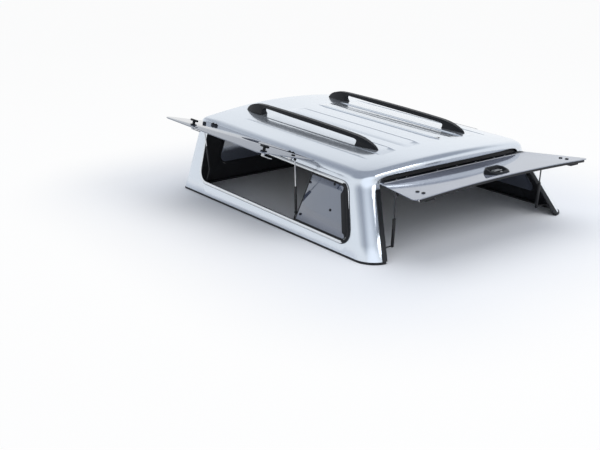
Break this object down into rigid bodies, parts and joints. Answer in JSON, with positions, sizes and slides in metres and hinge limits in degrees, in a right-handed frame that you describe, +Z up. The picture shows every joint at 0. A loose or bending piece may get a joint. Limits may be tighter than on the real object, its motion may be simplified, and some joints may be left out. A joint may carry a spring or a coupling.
{
  "type": "pickup truck canopy",
  "caption": "Hard canopy for a pickup load bed: moulded shell with crowned roof, raked rear glass door on gas struts, side windows with lift-up glass, and roof rails.",
  "frame": {"origin": "middle of the base's front edge, on the underside of the base seal", "axes": "+X to the right, +Y forward towards the cab, +Z up"},
  "size_m": [1.8004, 2.0614, 0.5504],
  "materials": {
    "paint": "gloss metallic silver",
    "lining": "satin black",
    "rubber": "matt black",
    "bright_rim": "satin anodised",
    "glass": "dark tint",
    "black_trim": "satin black",
    "alloy": "brushed",
    "rail": "satin black",
    "black_steel": "satin black",
    "rod_steel": "polished"
  },
  "bodies": {
    "canopy": {"roof_shell": "paint", "front_panel": "paint", "left_side_shell": "paint", "right_side_shell": "paint", "base_seal": "rubber", "rear_header": "lining", "roof_lining": "lining", "front_lining": "lining", "left_lining": "lining", "right_lining": "lining", "front_window_seal": "rubber", "front_window": "glass", "rear_hinge_rail": "alloy", "left_window_rim": "bright_rim", "left_fixed_pane": "glass", "left_pane_seal": "rubber", "left_lift_glass": "glass", "left_t_handles": "black_trim", "left_window_hinges": "black_trim", "left_window_struts": "black_steel", "left_rear_seal": "rubber", "left_strut_bracket": "black_steel", "left_roof_rail": "rail", "right_window_rim": "bright_rim", "right_fixed_pane": "glass", "right_pane_seal": "rubber", "right_lift_glass": "glass", "right_t_handles": "black_trim", "right_window_hinges": "black_trim", "right_window_struts": "black_steel", "right_rear_seal": "rubber", "right_strut_bracket": "black_steel", "right_roof_rail": "rail"},
    "rear_door": {"rear_door_glass": "glass", "rear_door_hinge_strip": "alloy", "rear_handle_base": "black_trim", "rear_lock_body": "black_steel", "left_latch_housing": "black_trim", "right_latch_housing": "black_trim", "left_latch_rod": "rod_steel", "right_latch_rod": "rod_steel", "left_door_lug": "black_steel", "right_door_lug": "black_steel"},
    "handle_paddle": {"rear_handle_paddle": "black_trim"},
    "left_strut_tube": {"left_strut_tube": "black_steel"},
    "left_strut_rod": {"left_strut_rod": "rod_steel"},
    "right_strut_tube": {"right_strut_tube": "black_steel"},
    "right_strut_rod": {"right_strut_rod": "rod_steel"}
  },
  "joints": [
    {"name": "rear_door_hinge", "type": "hinge", "parent": "canopy", "child": "rear_door", "pos_m": [0, -1.6544, 0.36], "axis": [1, 0, 0], "range_deg": [0, 61.84]},
    {"name": "handle_pivot", "type": "hinge", "parent": "rear_door", "child": "handle_paddle", "pos_m": [0, -1.96673, 0.41198], "axis": [-1, 0, 0], "range_deg": [0, 30], "stiffness_Nm_per_rad": 0.6},
    {"name": "left_strut_pivot", "type": "hinge", "parent": "canopy", "child": "left_strut_tube", "pos_m": [-0.578, -1.8, 0.06], "axis": [1, 0, 0], "range_deg": [-31, 0]},
    {"name": "left_strut_slide", "type": "slide", "parent": "left_strut_tube", "child": "left_strut_rod", "axis": [0, -0.0527, 0.9986], "range_m": [-0.117, 0]},
    {"name": "right_strut_pivot", "type": "hinge", "parent": "canopy", "child": "right_strut_tube", "pos_m": [0.578, -1.8, 0.06], "axis": [1, 0, 0], "range_deg": [-31, 0]},
    {"name": "right_strut_slide", "type": "slide", "parent": "right_strut_tube", "child": "right_strut_rod", "axis": [0, -0.0527, 0.9986], "range_m": [-0.117, 0]}
  ],
  "couplings": [
    {"joint": "left_strut_pivot", "follows": "rear_door_hinge", "ratio": -0.49854},
    {"joint": "left_strut_slide", "follows": "rear_door_hinge", "m_per_rad": -0.10731},
    {"joint": "right_strut_pivot", "follows": "rear_door_hinge", "ratio": -0.49854},
    {"joint": "right_strut_slide", "follows": "rear_door_hinge", "m_per_rad": -0.10731}
  ]
}
